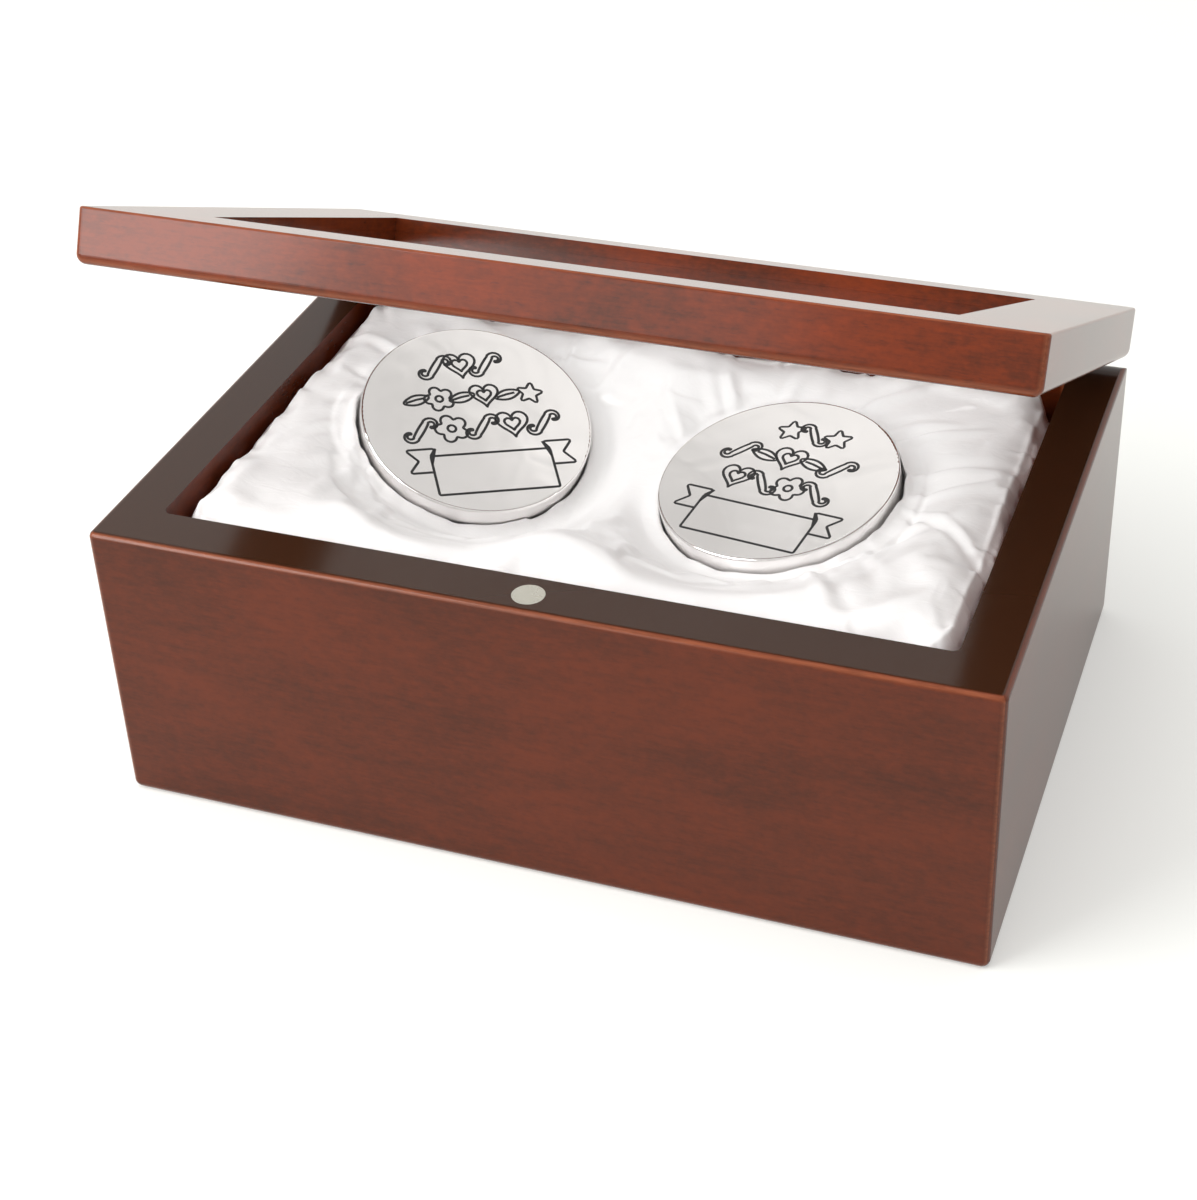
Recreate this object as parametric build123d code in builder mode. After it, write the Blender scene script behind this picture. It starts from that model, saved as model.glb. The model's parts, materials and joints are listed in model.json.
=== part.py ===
"""Keepsake box: a mitred wooden box with a glazed lid, a satin pad and two silver-plated tins.

Millimetres, +Z up, +Y to the hinged back. The origin is the centre of the underside.
The lid is drawn on its own plane through the hinge axis, standing ajar, and each tin on a
plane through the centre of its cover, which leans as it lies in the pad.
"""

import os
from math import cos, exp, hypot, log, radians, sin, sqrt

from build123d import *

# Box
box_width = 170.0
box_depth = 115.5
base_height = 60.0
wall = 10.3
corner_round = 1.4          # outer upright edges
inner_round = 1.5           # inner upright corners
foot_round = 1.8            # outer bottom edges
rim_round = 1.2             # outer top edges
back_round = 4.0            # back top edge, cleared for the hinge knuckles

# Bottom
rebate_width = 5.0
board_thickness = 4.0
felt_thickness = 1.0
board_clearance = 0.15

# Lid
lid_thickness = 10.1
rail_width = 17.4
lid_ajar = 25.1             # degrees from closed, as the box stands
lid_gap = 0.2               # closed lid to rim
lid_under_round = 1.8
lid_top_round = 0.5
lid_back_chamfer = 3.5
pane_depth = 2.6            # lid top to pane
pane_thickness = 1.5
pane_rebate = 4.0
pane_clearance = 0.25
bead_setback = 0.2
bead_rise = 0.6             # bead above the lid's underside
bead_chamfer = 1.2

# Glazing brads
brad_radius = 0.45
brad_length = 8.0
brad_spacing = 44.0
brad_count_long = 3
brad_count_short = 2

# Hinges
hinge_back = 0.8            # axis behind the box's back face
hinge_inset = 37.0          # middle of each hinge from the box's side
hinge_length = 24.0
leaf_reach = 9.5
leaf_thickness = 1.0
leaf_clearance = 0.1
knuckle_radius = 1.9
knuckle_gap = 0.25
base_knuckle = 7.0          # length of each outer knuckle
pin_radius = 1.0
pin_clearance = 0.03
pin_head_radius = 1.5
pin_head_height = 0.6
screw_spacing = 13.0
screw_inset = 2.6           # screw centre from the leaf's edge
screw_radius = 0.85
screw_head_radius = 1.7
screw_head_height = 0.9
screw_length = 7.5
slot_width = 0.4
slot_depth = 0.35
hole_clearance = 0.02

# Magnets
magnet_radius = 3.0
magnet_height = 4.0

# Insert
insert_clearance = 0.4
pad_below_rim = 0.6
pad_floor = 4.0             # pad left under the deepest pocket
pad_corner_round = 9.0
shoulder_reach = 9.0        # the pad's top falls away over this width along the walls
shoulder_drop = 4.0
pocket_clearance = 0.5
pocket_floor_gap = 0.3
mouth_drop = 4.8            # from a cover's top down to where its pocket opens out
mouth_slope = 0.75          # how fast the pad rises from a pocket's mouth
mouth_blend = 1.6           # how softly the slopes run together
surface_margin = 1.5
surface_tolerance = 0.2
surface_count_across = 39
surface_count_along = 25

# Tins
tin_height = 20.0
tin_wall = 0.7
cover_radius = 23.2
cover_height = 4.2
cover_top = 0.8
cover_wall = 0.9
cover_clearance = 0.1
cover_edge_round = 0.6
cup_foot_round = 1.5
# Each tin's place and lean, in degrees, and the room over its highest edge under the shut pane
left_tin_x = -34.3
left_tin_y = 6.6
left_tin_headroom = 0.45
left_tin_front_lean = 14.8
left_tin_right_lean = 19.1
right_tin_x = 28.6
right_tin_y = 3.1
right_tin_headroom = 5.85
right_tin_front_lean = 9.7
right_tin_right_lean = -6.8

# Worked out from the above
inner_width = box_width - 2 * wall
inner_depth = box_depth - 2 * wall
rebate_height = board_thickness + felt_thickness
board_width = inner_width + 2 * (rebate_width - board_clearance)
board_depth = inner_depth + 2 * (rebate_width - board_clearance)
window_width = box_width - 2 * rail_width
window_depth = box_depth - 2 * rail_width
pane_rebate_height = lid_thickness - pane_depth
bead_width = pane_rebate - bead_setback
bead_height = pane_rebate_height - pane_thickness - bead_rise
cup_radius = cover_radius - cover_wall - cover_clearance
cup_height = tin_height - cover_top
pad_top = base_height - pad_below_rim
pocket_radius = cover_radius + pocket_clearance
shut_pane = base_height + lid_gap + pane_rebate_height - pane_thickness
insert_width = inner_width - 2 * insert_clearance
insert_depth = inner_depth - 2 * insert_clearance

hinge_y = box_depth / 2 + hinge_back
hinge_z = base_height + lid_gap / 2
hinge_places = [hinge_inset - box_width / 2, box_width / 2 - hinge_inset]

base_plane = Plane.XY
lid_tilt = radians(lid_ajar)
lid_plane = Plane(
    origin=(0, hinge_y, hinge_z), x_dir=(1, 0, 0), z_dir=(0, sin(lid_tilt), cos(lid_tilt))
)
lid_under = lid_plane.offset(lid_gap / 2)
lid_centre = -hinge_y       # from the hinge axis to the lid's centre, along its own depth
SIDES = {"front": (0, -1), "right": (1, 0), "back": (0, 1), "left": (-1, 0)}
beyond = 1.0                # how far a cutting shape runs past the wood


def write(piece, name):
    """Labels a finished piece and writes it under its node's name."""
    piece.part.label = name
    export_step(piece.part, f"parts/{name}.step")


def up(plane):
    """The axis along a plane's normal, for choosing edges by their height above it."""
    return Axis(plane.origin, plane.z_dir)


def rounded_block(plane, centre, height, low_round, high_round):
    """A block of the box's outline with its bottom and top outer edges rounded."""
    with BuildSketch(plane) as outline:
        with Locations((0, centre)):
            RectangleRounded(box_width, box_depth, corner_round)
    extrude(outline.sketch, amount=height)
    levels = edges().group_by(up(plane))
    fillet(levels[0], low_round)
    fillet(edges().group_by(up(plane))[-1], high_round)


def cut_opening(plane, centre, width, depth, height, corner=0.0):
    """Cuts a straight opening with the given outline and height above a plane."""
    with BuildSketch(plane) as outline:
        with Locations((0, centre)):
            if corner:
                RectangleRounded(width, depth, corner)
            else:
                Rectangle(width, depth)
    extrude(outline.sketch, amount=height, mode=Mode.SUBTRACT)


def keep_side(plane, centre, side, width, depth, reach, height):
    """Keeps only one side of a frame, cut along the mitres at its two ends."""
    x, y = SIDES[side]
    outer = [((x or end) * width / 2, (y or end) * depth / 2) for end in (-1, 1)]
    inner = [
        ((x or end) * (width / 2 - reach), (y or end) * (depth / 2 - reach)) for end in (1, -1)
    ]
    with BuildSketch(plane) as outline:
        with Locations((0, centre)):
            Polygon(*outer, *inner)
    extrude(outline.sketch, amount=height, mode=Mode.INTERSECT)


def magnet_plane(plane, centre, height):
    """The plane at the middle of the front rim on which a magnet's face lies."""
    y = centre - box_depth / 2 + wall / 2
    return Plane(plane.from_local_coords((0, y, height)), x_dir=plane.x_dir, z_dir=plane.z_dir)


def disc(plane, radius, height, mode=Mode.ADD):
    """A round solid standing on a plane; a negative height goes below it."""
    with BuildSketch(plane) as outline:
        Circle(radius)
    extrude(outline.sketch, amount=height, mode=mode)


base_magnet_plane = magnet_plane(base_plane, 0, base_height)
lid_magnet_plane = magnet_plane(lid_under, lid_centre, 0)


# Hinges: local planes at each axis, and the outlines both leaves share
def leaf_plane(x, closed_up):
    """A plane at a hinge's axis: the lid's way up, or the base's, which faces down."""
    if closed_up:
        return Plane(
            (x, hinge_y, hinge_z), x_dir=lid_plane.x_dir, z_dir=lid_plane.z_dir
        )
    return Plane((x, hinge_y, hinge_z), x_dir=(-1, 0, 0), z_dir=(0, 0, -1))


def leaf_outline(plane, extra):
    """A leaf's rectangle, widened by extra all round, drawn from the knuckles inwards."""
    with BuildSketch(plane.offset(lid_gap / 2)) as outline:
        with Locations((0, -(leaf_reach + extra) / 2)):
            Rectangle(hinge_length + 2 * extra, leaf_reach + extra)
    return outline.sketch


def cut_mortise(plane):
    """Lets a leaf into the wood, flush with the wood's face."""
    extrude(leaf_outline(plane, leaf_clearance), amount=leaf_thickness, mode=Mode.SUBTRACT)


def screw_places(plane):
    """The planes of a leaf's screws, at its face, pointing into the wood."""
    y = -(leaf_reach - screw_inset)
    return [
        Plane(
            plane.from_local_coords((x, y, lid_gap / 2)),
            x_dir=plane.x_dir,
            z_dir=plane.z_dir,
        )
        for x in (-screw_spacing / 2, screw_spacing / 2)
    ]


def screw_solid(place, clearance=0.0, mode=Mode.ADD):
    """A countersunk screw, or its hole, driven along a plane's normal."""
    profile = Plane(place.origin, x_dir=place.x_dir, z_dir=-place.y_dir)
    with BuildSketch(profile) as outline:
        with BuildLine():
            Polyline(
                (0, 0),
                (screw_head_radius + clearance, 0),
                (screw_radius + clearance, screw_head_height),
                (screw_radius + clearance, screw_length - screw_radius),
                (0, screw_length + clearance),
                close=True,
            )
        make_face()
    revolve(outline.sketch, axis=Axis(place.origin, place.z_dir), mode=mode)


def screws(plane):
    """A leaf's screws with slotted heads."""
    for place in screw_places(plane):
        screw_solid(place)
        with BuildSketch(place) as outline:
            Rectangle(2 * screw_head_radius, slot_width)
        extrude(outline.sketch, amount=slot_depth, mode=Mode.SUBTRACT)


def hinge_leaf(plane, spans, notches, bore):
    """A leaf with its knuckles on the given spans, cut clear of the other leaf's."""
    extrude(leaf_outline(plane, 0), amount=leaf_thickness)
    axle = Plane(plane.origin, x_dir=plane.y_dir, z_dir=plane.x_dir)
    for start, end in notches:
        with BuildSketch(plane) as outline:
            with Locations(((start + end) / 2, 0)):
                Rectangle(end - start, 2 * (knuckle_radius + knuckle_gap))
        extrude(outline.sketch, amount=2 * knuckle_radius, mode=Mode.SUBTRACT)
    for start, end in spans:
        disc(axle.offset(start), knuckle_radius, end - start)
    disc(axle.offset(-hinge_length / 2), bore, hinge_length, mode=Mode.SUBTRACT)
    for place in screw_places(plane):
        screw_solid(place, hole_clearance, mode=Mode.SUBTRACT)


half = hinge_length / 2
outer_spans = [(-half, base_knuckle - half), (half - base_knuckle, half)]
middle_span = [(base_knuckle - half + knuckle_gap, half - base_knuckle - knuckle_gap)]
outer_notches = [(-half - beyond, base_knuckle - half + knuckle_gap / 2),
                 (half - base_knuckle - knuckle_gap / 2, half + beyond)]
middle_notch = [(base_knuckle - half, half - base_knuckle)]


# Box: four mitred panels, a board let into their underside and felt below it
def base_panel(side):
    """One wall of the box with everything that is let into it."""
    rounded_block(base_plane, 0, base_height, foot_round, rim_round)
    cut_opening(base_plane, 0, inner_width, inner_depth, base_height, inner_round)
    cut_opening(
        base_plane, 0, inner_width + 2 * rebate_width, inner_depth + 2 * rebate_width,
        rebate_height,
    )
    if side != "front":
        with BuildSketch(Plane.YZ) as outline:
            with Locations((box_depth / 2 - back_round / 2, base_height - back_round / 2)):
                Rectangle(back_round, back_round)
            with Locations((box_depth / 2 - back_round, base_height - back_round)):
                Circle(back_round, mode=Mode.SUBTRACT)
        extrude(outline.sketch, amount=box_width / 2, both=True, mode=Mode.SUBTRACT)
    if side == "front":
        disc(base_magnet_plane, magnet_radius + hole_clearance, -magnet_height, Mode.SUBTRACT)
    if side == "back":
        for x in hinge_places:
            cut_mortise(leaf_plane(x, False))
            for place in screw_places(leaf_plane(x, False)):
                screw_solid(place, hole_clearance, mode=Mode.SUBTRACT)
    keep_side(base_plane, 0, side, box_width, box_depth, wall + rebate_width, base_height)


def lid_rail(side):
    """One rail of the lid's frame with everything that is let into it."""
    rounded_block(lid_under, lid_centre, lid_thickness, lid_under_round, lid_top_round)
    cut_opening(lid_under, lid_centre, window_width, window_depth, lid_thickness, inner_round)
    cut_opening(
        lid_under, lid_centre, window_width + 2 * pane_rebate, window_depth + 2 * pane_rebate,
        pane_rebate_height,
    )
    if side != "front":
        profile = Plane(lid_under.origin, x_dir=lid_under.y_dir, z_dir=lid_under.x_dir)
        with BuildSketch(profile) as outline:
            Polygon(
                (beyond - hinge_back, -beyond),
                (-hinge_back - lid_back_chamfer - beyond, -beyond),
                (beyond - hinge_back, lid_back_chamfer + beyond),
            )
        extrude(outline.sketch, amount=box_width / 2, both=True, mode=Mode.SUBTRACT)
    if side == "front":
        disc(lid_magnet_plane, magnet_radius + hole_clearance, magnet_height, Mode.SUBTRACT)
    if side == "back":
        for x in hinge_places:
            cut_mortise(leaf_plane(x, True))
            for place in screw_places(leaf_plane(x, True)):
                screw_solid(place, hole_clearance, mode=Mode.SUBTRACT)
    brads(side, brad_radius + hole_clearance, Mode.SUBTRACT)
    keep_side(lid_under, lid_centre, side, box_width, box_depth, rail_width, lid_thickness)


def glazing_bead(side):
    """One mitred bead that holds the pane up against the lip of the lid."""
    low = lid_under.offset(bead_rise)
    width = window_width + 2 * pane_rebate
    depth = window_depth + 2 * pane_rebate
    with BuildSketch(low) as outline:
        with Locations((0, lid_centre)):
            Rectangle(width, depth)
            Rectangle(width - 2 * bead_width, depth - 2 * bead_width, mode=Mode.SUBTRACT)
    extrude(outline.sketch, amount=bead_height)
    middle = low.from_local_coords((0, lid_centre))
    bottom = edges().group_by(up(low))[0]
    inner = bottom.sort_by(lambda edge: (edge.center() - middle).length)[:4]
    chamfer(inner, bead_chamfer)
    brads(side, brad_radius + hole_clearance, Mode.SUBTRACT)
    keep_side(low, lid_centre, side, width, depth, bead_width, bead_height)


def brads(side, radius, mode=Mode.ADD):
    """The small nails through one bead into its rail, or their holes."""
    x, y = SIDES[side]
    outward = lid_under.x_dir * x + lid_under.y_dir * y
    along = lid_under.x_dir * abs(y) + lid_under.y_dir * abs(x)
    inset = (window_width if x else window_depth) / 2 + bead_setback
    middle = lid_under.from_local_coords((0, lid_centre, bead_rise + bead_height / 2))
    count = brad_count_long if y else brad_count_short
    with BuildSketch(Plane(middle + outward * inset, x_dir=along, z_dir=outward)) as outline:
        with GridLocations(brad_spacing, brad_spacing, count, 1):
            Circle(radius)
    extrude(outline.sketch, amount=brad_length, mode=mode)


def tin_plane(x, y, headroom, front_lean, right_lean):
    """The plane of a cover's top, whose highest edge clears the shut pane by the headroom."""
    front, right = radians(front_lean), radians(right_lean)
    normal = Vector(sin(right), -sin(front) * cos(right), cos(front) * cos(right))
    rise = cover_radius * sqrt(1 - normal.Z**2)
    return Plane(
        origin=(x, y, shut_pane - headroom - rise),
        x_dir=(cos(right), 0, -sin(right)),
        z_dir=normal,
    )


def pocket_floor(top):
    """The plane of a pocket's floor, just below the tin's foot."""
    return top.offset(-tin_height - pocket_floor_gap)


def pocket_bottom(top):
    """The height of the lowest point of a leaning pocket."""
    floor = pocket_floor(top)
    return floor.origin.Z - pocket_radius * sqrt(1 - floor.z_dir.Z**2)


def mouth_height(top, x, y):
    """The height of the slope that rises all round one pocket's mouth."""
    away = hypot(x - top.origin.X, y - top.origin.Y)
    inside = min(1, pocket_radius / away) if away else 1
    fall = (top.z_dir.X * (x - top.origin.X) + top.z_dir.Y * (y - top.origin.Y)) / top.z_dir.Z
    rise = mouth_slope * max(0, away - pocket_radius)
    return top.origin.Z - mouth_drop / top.z_dir.Z - fall * inside + rise


def pad_height(x, y):
    """The height of the pad's top, dished round both tins and falling away at the walls."""
    levels = [pad_top] + [mouth_height(top, x, y) for top in tins.values()]
    lowest = min(levels)
    blended = lowest - mouth_blend * log(sum(exp((lowest - z) / mouth_blend) for z in levels))
    over_x = abs(x) - insert_width / 2 + pad_corner_round
    over_y = abs(y) - insert_depth / 2 + pad_corner_round
    to_wall = pad_corner_round - hypot(max(over_x, 0), max(over_y, 0)) - min(max(over_x, over_y), 0)
    return blended - shoulder_drop * max(0, 1 - to_wall / shoulder_reach) ** 2


def pad_surface():
    """The pad's top as one smooth face, a little larger than the pad."""
    columns, rows = surface_count_across - 1, surface_count_along - 1
    width, depth = insert_width + 2 * surface_margin, insert_depth + 2 * surface_margin
    across = [width * (column / columns - 0.5) for column in range(columns + 1)]
    along = [depth * (row / rows - 0.5) for row in range(rows + 1)]
    points = [[Vector(x, y, pad_height(x, y)) for y in along] for x in across]
    return Face.make_surface_from_array_of_points(
        points, tol=surface_tolerance, min_deg=2, max_deg=3
    )


def tin_cup(top):
    """A tin's cup, open under its cover."""
    disc(top.offset(-tin_height), cup_radius, cup_height)
    fillet(edges().group_by(up(top))[0], cup_foot_round)
    disc(top.offset(tin_wall - tin_height), cup_radius - tin_wall, cup_height, Mode.SUBTRACT)


def tin_cover(top):
    """A tin's cover, whose skirt slides over the cup."""
    disc(top, cover_radius, -cover_height)
    fillet(edges().group_by(up(top))[-1], cover_edge_round)
    disc(top.offset(-cover_height), cover_radius - cover_wall, cover_height - cover_top, Mode.SUBTRACT)


os.makedirs("parts", exist_ok=True)

for side in SIDES:
    with BuildPart() as panel:
        base_panel(side)
    write(panel, f"base_{side}_panel")

    with BuildPart() as rail:
        lid_rail(side)
    write(rail, f"lid_{side}_rail")

    with BuildPart() as bead:
        glazing_bead(side)
    write(bead, f"glazing_bead_{side}")

with BuildPart() as base_board:
    with BuildSketch(base_plane.offset(felt_thickness)):
        Rectangle(board_width, board_depth)
    extrude(amount=board_thickness)
write(base_board, "base_board")

with BuildPart() as base_felt:
    with BuildSketch(base_plane):
        Rectangle(board_width, board_depth)
    extrude(amount=felt_thickness)
write(base_felt, "base_felt")

with BuildPart() as base_magnet:
    disc(base_magnet_plane, magnet_radius, -magnet_height)
write(base_magnet, "base_magnet")

with BuildPart() as lid_magnet:
    disc(lid_magnet_plane, magnet_radius, magnet_height)
write(lid_magnet, "lid_magnet")

with BuildPart() as lid_pane:
    with BuildSketch(lid_under.offset(pane_rebate_height - pane_thickness)):
        with Locations((0, lid_centre)):
            Rectangle(
                window_width + 2 * (pane_rebate - pane_clearance),
                window_depth + 2 * (pane_rebate - pane_clearance),
            )
    extrude(amount=pane_thickness)
write(lid_pane, "lid_pane")

with BuildPart() as glazing_brads:
    for side in SIDES:
        brads(side, brad_radius)
write(glazing_brads, "glazing_brads")

# Hinges: the base leaves carry the pins, and the lid leaves turn on them
for name, x in zip(("left", "right"), hinge_places):
    with BuildPart() as base_leaf:
        hinge_leaf(leaf_plane(x, False), outer_spans, middle_notch, pin_radius + pin_clearance)
    write(base_leaf, f"hinge_{name}_base_leaf")

    with BuildPart() as lid_leaf:
        hinge_leaf(leaf_plane(x, True), middle_span, outer_notches, pin_radius + 2 * pin_clearance)
    write(lid_leaf, f"hinge_{name}_lid_leaf")

    with BuildPart() as hinge_pin:
        axle = Plane((x, hinge_y, hinge_z), x_dir=(0, 1, 0), z_dir=(1, 0, 0))
        disc(axle.offset(-half), pin_radius, hinge_length)
        disc(axle.offset(-half), pin_head_radius, -pin_head_height)
        disc(axle.offset(half), pin_head_radius, pin_head_height)
    write(hinge_pin, f"hinge_{name}_pin")

with BuildPart() as base_hinge_screws:
    for x in hinge_places:
        screws(leaf_plane(x, False))
write(base_hinge_screws, "base_hinge_screws")

with BuildPart() as lid_hinge_screws:
    for x in hinge_places:
        screws(leaf_plane(x, True))
write(lid_hinge_screws, "lid_hinge_screws")

# Insert: a foam block under a satin-covered pad with a leaning pocket for each tin
tins = {
    "left": tin_plane(
        left_tin_x, left_tin_y, left_tin_headroom, left_tin_front_lean, left_tin_right_lean
    ),
    "right": tin_plane(
        right_tin_x, right_tin_y, right_tin_headroom, right_tin_front_lean, right_tin_right_lean
    ),
}
pad_bottom = min(pocket_bottom(top) for top in tins.values()) - pad_floor

with BuildPart() as insert_foam:
    with BuildSketch(base_plane.offset(rebate_height)):
        RectangleRounded(insert_width, insert_depth, inner_round)
    extrude(amount=pad_bottom - rebate_height)
write(insert_foam, "insert_foam")

with BuildPart() as satin_pad:
    with BuildSketch(base_plane.offset(pad_bottom)):
        RectangleRounded(insert_width, insert_depth, pad_corner_round)
    extrude(amount=base_height)
    extrude(pad_surface(), amount=base_height, dir=(0, 0, 1), mode=Mode.SUBTRACT)
    for top in tins.values():
        disc(pocket_floor(top), pocket_radius, 2 * tin_height, Mode.SUBTRACT)
write(satin_pad, "satin_pad")

for name, top in tins.items():
    with BuildPart() as cup:
        tin_cup(top)
    write(cup, f"{name}_tin_cup")

    with BuildPart() as cover:
        tin_cover(top)
    write(cover, f"{name}_tin_cover")
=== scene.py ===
"""Keepsake box: the looks of the wood, glass, satin, silver and brass, laid out as an add-on.

Metres, +Z up, +Y to the hinged back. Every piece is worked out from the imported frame.
"""

import json
import math
import random

import bmesh
import bpy
import numpy as np
from bpy.props import FloatProperty, FloatVectorProperty, PointerProperty
from mathutils import Matrix, Vector


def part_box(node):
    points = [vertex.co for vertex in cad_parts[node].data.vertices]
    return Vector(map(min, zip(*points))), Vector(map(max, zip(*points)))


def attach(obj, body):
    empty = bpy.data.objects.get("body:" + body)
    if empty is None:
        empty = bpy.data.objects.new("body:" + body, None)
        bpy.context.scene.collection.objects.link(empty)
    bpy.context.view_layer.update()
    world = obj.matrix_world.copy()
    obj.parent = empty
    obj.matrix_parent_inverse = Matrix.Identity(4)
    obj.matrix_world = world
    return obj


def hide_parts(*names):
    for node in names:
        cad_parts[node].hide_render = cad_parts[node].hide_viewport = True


bl_info = {
    "name": "Keepsake Box",
    "version": (1, 0, 0),
    "blender": (4, 5, 0),
    "location": "3D View > Sidebar > Keepsake Box",
    "description": "Finishes a keepsake box in lacquered wood, satin, silver plate and brass",
    "category": "Object",
}

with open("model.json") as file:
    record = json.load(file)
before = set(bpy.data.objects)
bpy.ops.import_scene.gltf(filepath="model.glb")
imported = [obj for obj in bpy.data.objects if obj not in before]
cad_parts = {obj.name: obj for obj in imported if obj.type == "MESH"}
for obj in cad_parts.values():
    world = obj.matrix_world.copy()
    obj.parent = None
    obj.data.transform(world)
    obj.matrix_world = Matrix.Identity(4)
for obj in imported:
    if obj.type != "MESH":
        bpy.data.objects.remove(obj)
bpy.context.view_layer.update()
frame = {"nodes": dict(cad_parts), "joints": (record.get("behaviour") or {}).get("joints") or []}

MM = 0.001
NODES = frame["nodes"]
JOINTS = {joint["name"]: joint for joint in frame["joints"]}
LID_HINGE = JOINTS["lid_hinge"]
LID_TILT = math.radians(-LID_HINGE["range_deg"][0])
SIDES = ("front", "back", "left", "right")
TIN_SIDES = ("left", "right")

# The pad, in millimetres
PAD_CORNER = 9.0  # corner radius
LOOSE_DEPTH = 9.0  # below the crown, the cover clings to the walls
TIN_DEPTH = 20.35  # cover's top to the pocket's floor
TIN_GAP = 0.2  # kept free round a tin
POCKET_WALL = 3.0  # cloth this near a tin's side is pushed out of it
LIP_LEVEL = -6.0  # middle of a pocket's lip, from the cover's top
LIP_HALF = 4.0  # half the lip's height
LIP_REACH = 3.2  # how far out the lip is drawn in towards the tin
LIP_RISE = 2.0  # how far it stands up round the tin
WINDOW_HALF = (67.2, 39.9)  # half the lid's opening, less a margin
RIM_CEILING = 59.95  # top of the cover under the lid's rails
PANE_CEILING = 65.9  # and under the pane
CLOTH_FRAMES = 20
CLOTH = {
    "vertex_group_mass": "held", "quality": 6, "tension_stiffness": 20,
    "compression_stiffness": 20, "shear_stiffness": 8, "bending_stiffness": 0.03,
    "use_pressure": True, "uniform_pressure_force": 0.6,
}

# Creases that fan out from a tin: between which angles, how many, how far past its side they
# start, how far they reach, and their share of the fold height
TIN_FANS = (
    ("right", -70, 95, 10, 1.5, 34, 1.0),
    ("right", 100, 165, 5, 2, 20, 0.7),
    ("left", 15, 75, 4, 2, 22, 0.7),
    ("left", 120, 265, 8, 2, 20, 0.6),
    ("left", 265, 330, 3, 2, 18, 0.5),
)
# Creases that follow a tin's side: between which angles, how far off, and their share
TIN_RINGS = (
    ("left", 165, 265, (2.2, 4.2), 0.3),
    ("right", -85, 30, (1.8, 3.6), 0.32),
)
# Pleats along a wall: how many, how far they reach, and their share
WALL_PLEATS = (
    ("right", 9, 8, 0.7),
    ("left", 10, 8, 0.45),
    ("back", 18, 10, 0.6),
    ("front", 12, 7, 0.4),
)

# The stage: each lamp's name, place, target, size and power, whether lacquer and metal mirror
# it, and whether it lights anything
LAMPS = (
    ("front_left", (-0.66, -0.60, 0.55), (0, 0, 0.04), 0.67, 7.8, True, True),
    ("front_card", (-0.44, -0.90, 0.345), (-0.02, -0.05, 0.1), 0.5, 1.45, True, False),
    ("overhead", (-0.15, -0.28, 1.25), (0, 0, 0.04), 1.4, 12.2, False, True),
)
ROOM_COLOUR = (1.0, 0.98, 0.955)
ROOM_LIGHT = 0.66  # how much the room lights, where 1 is white
ROOM_FRONT = 0.72  # how bright it is behind the camera
ROOM_SPLIT = (0.445, 0.495)  # where the front gives way to the rest
FLOOR_GLOW = 0.3  # what the floor adds to itself where it is seen
FLOOR_FADE = (0.4, 1.1)  # how far off it turns white, metres
LENS_SHIFT = (0.0013, -0.041)


# ---------- sizes and colours

class WoodSettings(bpy.types.PropertyGroup):
    """The stained and lacquered wood of the box and its lid."""

    stain: FloatVectorProperty(
        name="Stain", description="Colour of the stained wood", subtype="COLOR",
        default=(0.135, 0.0235, 0.0065), min=0, max=1)
    # The lid's stain is the base's wood made lighter and redder, painting the warm sheen its front
    # catches from the lamps.
    lid_stain_and_sheen: FloatVectorProperty(
        name="Lid Stain", description="Colour of the stained wood of the lid", subtype="COLOR",
        default=(0.19, 0.0285, 0.0055), min=0, max=1)
    dark_stain: FloatVectorProperty(
        name="Dark Stain", description="Colour of the darker grain", subtype="COLOR",
        default=(0.07, 0.0155, 0.0055), min=0, max=1)
    pore_colour: FloatVectorProperty(
        name="Pores", description="Colour of the open pores", subtype="COLOR",
        default=(0.05, 0.014, 0.009), min=0, max=1)
    # Painted shade: a darker colour laid on the rim's top faces, standing in for the shade of the
    # open lid over them.
    rim_top_shade: FloatVectorProperty(
        name="Rim", description="Colour of the dark-stained rim", subtype="COLOR",
        default=(0.036, 0.0135, 0.006), min=0, max=1)
    # Edge colour: partly thin stain on worn edges, partly a painted highlight where the lamps glint
    # on the rounded edges.
    worn_edge_and_highlight_colour: FloatVectorProperty(
        name="Edges", description="Colour where the stain is thin on the edges", subtype="COLOR",
        default=(0.3, 0.085, 0.035), min=0, max=1)
    figure_width: FloatProperty(
        name="Figure", description="Width of the broad bands of the grain",
        default=14 * MM, unit="LENGTH")
    fibre_width: FloatProperty(
        name="Fibre", description="Width of the fine streaks", default=0.5 * MM, unit="LENGTH")
    pore_width: FloatProperty(
        name="Pore", description="Width of the pores", default=0.35 * MM, unit="LENGTH")


class SatinSettings(bpy.types.PropertyGroup):
    """The satin-covered pad."""

    colour: FloatVectorProperty(
        name="Satin", description="Colour of the satin", subtype="COLOR",
        default=(0.94, 0.93, 0.925), min=0, max=1)
    thread: FloatProperty(
        name="Thread", description="Width of one thread of the weave", default=0.16 * MM,
        unit="LENGTH")
    voxel: FloatProperty(
        name="Mesh Size", description="Size of the cloth's faces", default=2.2 * MM,
        unit="LENGTH")
    slack: FloatProperty(
        name="Slack", description="Spare cloth that puckers between the seams", default=0.05)
    give: FloatProperty(
        name="Give", description="How far the cloth may lift off the foam", default=1.3 * MM,
        unit="LENGTH")
    fold_height: FloatProperty(
        name="Folds", description="Height of the gathered folds", default=1.15 * MM,
        unit="LENGTH")


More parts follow.
